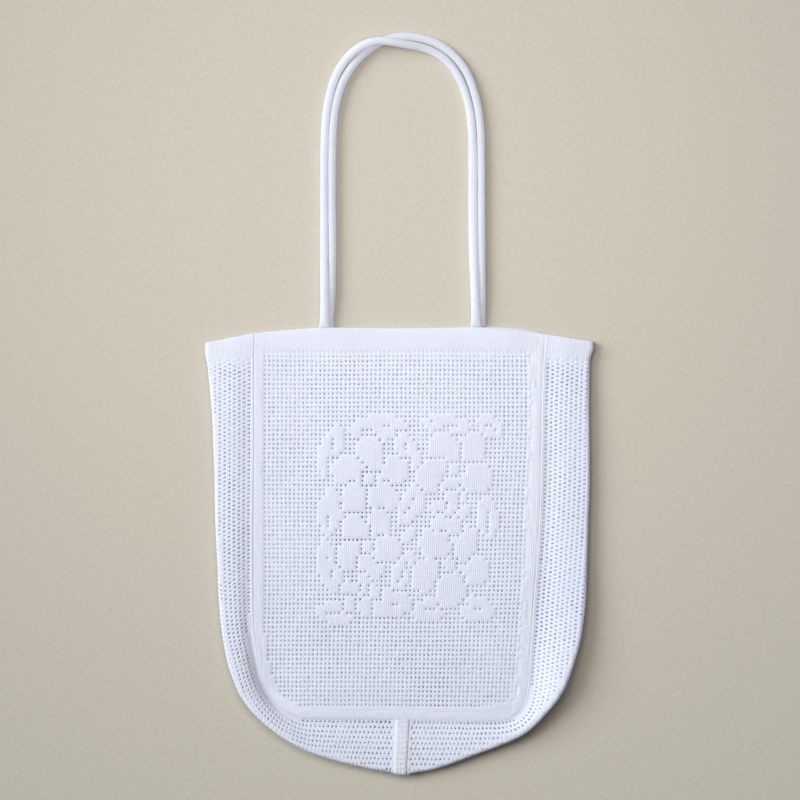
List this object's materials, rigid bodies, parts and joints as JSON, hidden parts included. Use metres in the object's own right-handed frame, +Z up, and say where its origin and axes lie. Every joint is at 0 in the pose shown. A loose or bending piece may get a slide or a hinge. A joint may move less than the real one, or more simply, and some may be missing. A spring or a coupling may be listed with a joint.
{
  "type": "crochet bag",
  "caption": "White openwork crochet shoulder bag with a folded gusset and knitted tube handles, lying flat on its back.",
  "frame": {"origin": "on the surface the bag lies on, under the middle of the bag and its laid-out handles", "axes": "+X to the right and +Y from the bottom of the bag towards the handles, seen from above; +Z up, out of the front panel"},
  "size_m": [0.3508, 0.6682, 0.0192],
  "materials": {
    "openwork_knit": "matte white cotton knit, open mesh with solid bands",
    "knitted_tube": "matte white cotton knitted tube"
  },
  "bodies": {
    "root": {"front_panel": "openwork_knit", "back_panel": "openwork_knit", "gusset_left": "openwork_knit", "gusset_right": "openwork_knit", "handle_front": "knitted_tube", "handle_back": "knitted_tube"}
  },
  "joints": []
}
